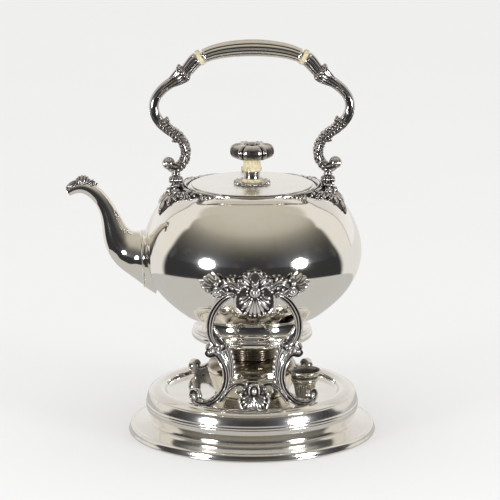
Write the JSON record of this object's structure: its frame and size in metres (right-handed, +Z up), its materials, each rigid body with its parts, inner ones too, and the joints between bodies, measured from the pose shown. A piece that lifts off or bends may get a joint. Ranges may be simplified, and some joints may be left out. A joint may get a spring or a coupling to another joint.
{
  "type": "spirit kettle on stand",
  "caption": "Round silver-plated kettle with swing handle, hinged lid and curved spout, tilting between scrolled brackets on a dished round base with a spirit burner and snuffer.",
  "frame": {"origin": "centre of the round base, on the plane it rests on", "axes": "+Z up; the spout points to -X; the kettle tilts about an axis along Y through the tops of the two brackets; the lid hinge is at +Y; the handle swings about an axis along X"},
  "size_m": [0.2483, 0.2, 0.3193],
  "materials": {
    "polished_silver": "polished",
    "cast_silver": "polished",
    "cream_insulator": "satin",
    "steel_fastener": "satin",
    "brass_fitting": "satin",
    "cotton_wick": "matte"
  },
  "bodies": {
    "stand": {"base_tray": "polished_silver", "base_flange": "polished_silver", "bracket_screws": "steel_fastener", "front_bracket_leg_left": "cast_silver", "front_bracket_leg_right": "cast_silver", "front_bracket_crest": "cast_silver", "front_bracket_apron": "cast_silver", "back_bracket_leg_left": "cast_silver", "back_bracket_leg_right": "cast_silver", "back_bracket_crest": "cast_silver", "back_bracket_apron": "cast_silver"},
    "burner": {"burner_reservoir": "polished_silver", "burner_collar": "polished_silver", "burner_wick_tube": "brass_fitting", "burner_wick": "cotton_wick"},
    "snuffer": {"snuffer_cap": "polished_silver"},
    "kettle": {"kettle_body": "polished_silver", "kettle_foot": "polished_silver", "spout": "polished_silver", "spout_collar": "polished_silver", "spout_leaf": "cast_silver", "spout_strainer": "polished_silver", "pivot_bush_front": "polished_silver", "pivot_bush_back": "polished_silver", "pivot_screw_front": "steel_fastener", "pivot_screw_back": "steel_fastener", "lid_bezel": "polished_silver", "lid_hinge_leaf": "polished_silver", "lid_hinge_pin": "steel_fastener", "handle_mount_left": "cast_silver", "handle_mount_right": "cast_silver", "handle_pin_left": "steel_fastener", "handle_pin_right": "steel_fastener"},
    "lid": {"lid": "polished_silver", "lid_hinge_knuckle": "polished_silver", "lid_rosette": "cast_silver", "lid_insulator_lower": "cream_insulator", "lid_finial_ring": "polished_silver", "lid_insulator_upper": "cream_insulator", "lid_knob": "cast_silver", "lid_knob_stud": "steel_fastener", "lid_knob_nut": "brass_fitting"},
    "handle": {"handle_arm_left": "cast_silver", "handle_arm_right": "cast_silver", "handle_insulator_left": "cream_insulator", "handle_insulator_right": "cream_insulator", "handle_dowels": "steel_fastener", "handle_grip": "cast_silver"}
  },
  "joints": [
    {"name": "kettle_tilt", "type": "hinge", "parent": "stand", "child": "kettle", "pos_m": [0, 0, 0.148], "axis": [0, -1, 0], "range_deg": [0, 17]},
    {"name": "lid_hinge", "type": "hinge", "parent": "kettle", "child": "lid", "pos_m": [0, 0.0506, 0.2046], "axis": [-1, 0, 0], "range_deg": [0, 100]},
    {"name": "handle_swing", "type": "hinge", "parent": "kettle", "child": "handle", "pos_m": [0, 0, 0.2059], "axis": [1, 0, 0], "range_deg": [-75, 75]},
    {"name": "burner_slide", "type": "slide", "parent": "stand", "child": "burner", "axis": [-0.9935, 0, 0.1141], "range_m": [0, 0.15]},
    {"name": "snuffer_lift", "type": "slide", "parent": "stand", "child": "snuffer", "axis": [0.8571, 0, 0.5151], "range_m": [0, 0.12]}
  ]
}
